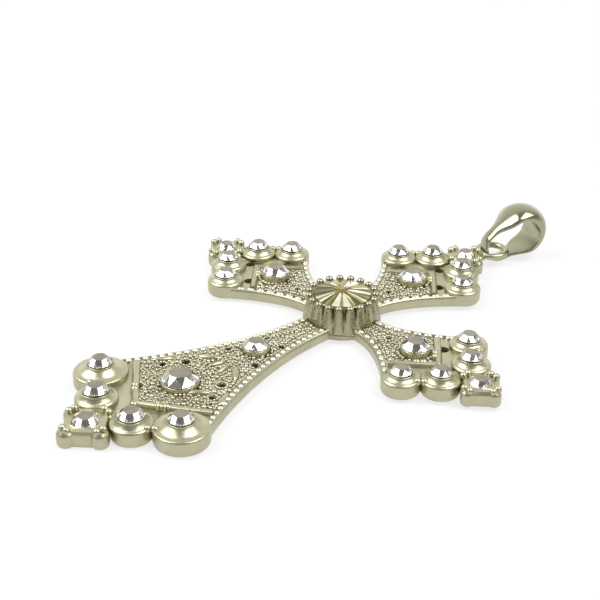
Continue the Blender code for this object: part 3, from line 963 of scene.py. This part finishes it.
def make_centre_stone(node, materials, slot):
    """The large stone: narrow facets in mixed tones that run up to a low point, with gold, brown
    and olive round its middle. The tones are the stone's tint with painted reflections in it."""
    # The light tone is a painted reflection; the green, olive, brown and gold are the stone's tint
    # with painted shade in them.
    light, green, olive, brown, gold = range(5)
    rng = random.Random(node)
    centre, radius, girdle = stone_size(node)
    sides = LARGE_SIDES
    place = Vector((centre.x, centre.y, girdle))
    points = [
        place + Vector((0, 0, LARGE_CROWN)),
        *turned_ring(place, sides, LARGE_CORE_PART * radius, 0.0, 0.0),
        *turned_ring(place, sides, radius, 0.0, 0.0),
        *turned_ring(place, sides, radius, -GIRDLE_EDGE, 0.0),
        place - Vector((0, 0, pavilion(radius, girdle))),
    ]
    inner, outer, under, culet = 1, 1 + sides, 1 + 2 * sides, 1 + 3 * sides
    for index in range(inner, outer):
        away = points[index] - place
        stretch = rng.uniform(0.5, 1.5)
        height = LARGE_CROWN - LARGE_CORE_DROP * stretch
        points[index] = place + Vector((away.x * stretch, away.y * stretch, height))
    stone = Shape()
    stone.add(points, [])
    for index in range(sides):
        after = (index + 1) % sides
        core = rng.choice((gold, brown, olive))
        body = rng.choice((light, light, light, green, green, olive, olive, brown))
        stone.faces += [
            (0, inner + index, inner + after),
            (inner + index, outer + index, outer + after, inner + after),
            (outer + index, under + index, under + after, outer + after),
            (under + index, culet, under + after),
        ]
        stone.tags += [core, body, olive, olive]
    finish_stone(stone, node, materials, slot)


# ---------------------------------------------------------------------------------- stage


def make_camera():
    azimuth, roll = math.radians(CAMERA_AZIMUTH), math.radians(CAMERA_ROLL)
    back = towards(CAMERA_AZIMUTH, CAMERA_ELEVATION)
    level = Vector((math.cos(azimuth), math.sin(azimuth), 0.0))
    upright = back.cross(level)
    right = level * math.cos(roll) + upright * math.sin(roll)
    up = back.cross(right)
    data = bpy.data.cameras.new("camera")
    data.sensor_width = SENSOR_WIDTH
    data.lens = LENS
    data.clip_start, data.clip_end = CAMERA_CLIP
    camera = bpy.data.objects.new("camera", data)
    bpy.context.scene.collection.objects.link(camera)
    turn = Matrix((right, up, back)).transposed().to_4x4()
    camera.matrix_world = Matrix.Translation((CAMERA_TARGET + back * CAMERA_DISTANCE) * MM) @ turn
    bpy.context.scene.camera = camera


def make_floor():
    """A pale floor, tilted a little so that it meets the long tip and the underside of the bail."""
    mesh = bpy.data.meshes.new("floor")
    shape = bmesh.new()
    bmesh.ops.create_grid(shape, x_segments=2, y_segments=2, size=FLOOR_REACH)
    shape.to_mesh(mesh)
    shape.free()
    floor = bpy.data.objects.new("floor", mesh)
    bpy.context.scene.collection.objects.link(floor)
    near, far = [Vector((0.0, y * MM, z * MM)) for y, z in (FLOOR_NEAR, FLOOR_FAR)]
    slope = math.atan2(far.z - near.z, far.y - near.y)
    floor.location = (near + far) / 2
    floor.rotation_euler.x = slope
    made = Nodes("floor_paper")
    made.set(Roughness=0.9, Specular_IOR_Level=0.1, Emission_Color=(1.0, 1.0, 1.0, 1.0),
             Emission_Strength=FLOOR_GLOW)
    made.colour(made.noise(60.0), (0.3, (FLOOR_TONE,) * 3), (0.7, (1.05 * FLOOR_TONE,) * 3))
    mesh.materials.append(made.material)


def towards(azimuth, elevation):
    """A direction, given as the camera's is: azimuth 0 looks along +Y from the front."""
    a, e = math.radians(azimuth), math.radians(elevation)
    return Vector((math.sin(a) * math.cos(e), -math.cos(a) * math.cos(e), math.sin(e)))


def make_lamp(name, azimuth, elevation, distance, size, energy):
    """A square soft lamp that points at the pendant."""
    back = towards(azimuth, elevation)
    data = bpy.data.lights.new(name, "AREA")
    data.size = size * MM
    data.energy = energy
    lamp = bpy.data.objects.new(name, data)
    bpy.context.scene.collection.objects.link(lamp)
    lamp.location = back * distance * MM
    lamp.rotation_mode = "QUATERNION"
    lamp.rotation_quaternion = back.to_track_quat("Z", "Y")


def make_world():
    """A studio: a bright backdrop behind the pendant, paler near the floor, dark overhead."""
    world = bpy.data.worlds.new("room")
    world.use_nodes = True
    tree = world.node_tree
    direction = tree.nodes.new("ShaderNodeTexCoord").outputs["Generated"]

    def level_ramp(value, *stops):
        ramp = tree.nodes.new("ShaderNodeValToRGB")
        while len(ramp.color_ramp.elements) < len(stops):
            ramp.color_ramp.elements.new(0.5)
        for element, (place, level) in zip(ramp.color_ramp.elements, stops):
            element.position = place
            element.color = (level, level, level, 1.0)
        tree.links.new(value, ramp.inputs["Fac"])
        return ramp.outputs["Color"]

    facing = tree.nodes.new("ShaderNodeVectorMath")
    facing.operation = "DOT_PRODUCT"
    facing.inputs[1].default_value = towards(CAMERA_AZIMUTH + 180, BACKDROP_ELEVATION)
    tree.links.new(direction, facing.inputs[0])
    backdrop = level_ramp(
        facing.outputs["Value"], (0.0, 0.3), (0.3, 0.4), (0.65, 0.95), (0.9, 1.15))
    parts = tree.nodes.new("ShaderNodeSeparateXYZ")
    tree.links.new(direction, parts.inputs["Vector"])
    horizon = level_ramp(parts.outputs["Z"], (0.0, 0.45), (0.12, 0.35), (0.35, 0.0))
    both = tree.nodes.new("ShaderNodeVectorMath")
    both.operation = "ADD"
    tree.links.new(backdrop, both.inputs[0])
    tree.links.new(horizon, both.inputs[1])
    tree.links.new(both.outputs["Vector"], tree.nodes["Background"].inputs["Color"])
    bpy.context.scene.world = world


# ---------------------------------------------------------------------------------- all of it


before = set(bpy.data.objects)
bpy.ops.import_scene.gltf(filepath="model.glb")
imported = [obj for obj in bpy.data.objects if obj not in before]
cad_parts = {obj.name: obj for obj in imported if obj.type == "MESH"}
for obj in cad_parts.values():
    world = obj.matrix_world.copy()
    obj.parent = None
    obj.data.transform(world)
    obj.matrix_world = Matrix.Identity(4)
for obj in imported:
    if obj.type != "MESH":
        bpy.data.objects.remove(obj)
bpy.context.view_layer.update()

make_camera()
make_world()
make_floor()
for lamp in LAMPS:
    make_lamp(*lamp)

cast_metal = metal("cast_metal", (0.5, 0.48, 0.33), (0.43, 0.41, 0.28), 0.32, 2600.0, 0.5)
# The cup's metal is a darker copy of the cast metal: painted shade on the cup.
cup_metal = metal("cup_metal", (0.4, 0.37, 0.26), (0.33, 0.3, 0.2), 0.26, 2600.0, 0.5)
bead_metal = metal("bead_metal", (0.58, 0.56, 0.45), (0.44, 0.42, 0.32), 0.28, 3200.0, 0.25)
# The milgrain's metal is a much lighter copy of the cast metal: painted highlights on the milgrain
# beads.
milgrain_metal = metal("milgrain_metal", (0.8, 0.78, 0.68), (0.68, 0.66, 0.56), 0.3, 3200.0, 0.1)
# Near-black metal for the pits and for the seats under the mid stones: painted shade in these
# hollows.
pit_metal = metal("pit_metal", (0.2, 0.175, 0.12), (0.09, 0.08, 0.05), 0.5, 2600.0, 0.5)
# The bail's metal is a darker copy of the cast metal: painted shade on the bail.
bail_metal = metal("bail_metal", (0.4, 0.395, 0.27), (0.33, 0.325, 0.22), 0.16, 1200.0, 0.12)
clear_facets = [
    glass("clear_glass", (0.97, 0.97, 0.97)),
    # The shaded and grey facets are painted reflections: the dark tones on the small stones' tables
    # and on some crown facets.
    facet("shaded_facet", (0.33, 0.3, 0.24)),
    facet("grey_facet", (0.42, 0.4, 0.34)),
    foil("clear_foil", (0.9, 0.89, 0.88), (0.66, 0.64, 0.57), (0.92, 0.9, 0.82)),
]
# The centre stone's tones are its tint with painted reflections in it; the light tone is wholly a
# painted reflection.
tint_and_reflection_facets = [
    facet("light_facet", (0.88, 0.87, 0.7)),
    facet("green_facet", (0.36, 0.36, 0.13)),
    facet("olive_facet", (0.2, 0.19, 0.07)),
    facet("brown_facet", (0.12, 0.09, 0.045)),
    facet("gold_facet", (0.42, 0.3, 0.08)),
]

make_plate(cast_metal, pit_metal)
make_cup(cup_metal)
make_ridges(cast_metal)
make_settings(cast_metal)
make_eyelet(cast_metal)
for arm in ARMS:
    make_lobes(arm, cast_metal)
    make_tip(arm, cast_metal)
    make_milgrain(arm, milgrain_metal)
    make_granules(arm, bead_metal)
make_bail(bail_metal)
for node in sorted(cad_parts):
    if node == "stone_centre":
        make_centre_stone(node, tint_and_reflection_facets, "tinted_stone")
    elif node.startswith("stone_"):
        make_stone(node, clear_facets, "clear_stone")

bpy.context.scene.view_settings.view_transform = "Standard"
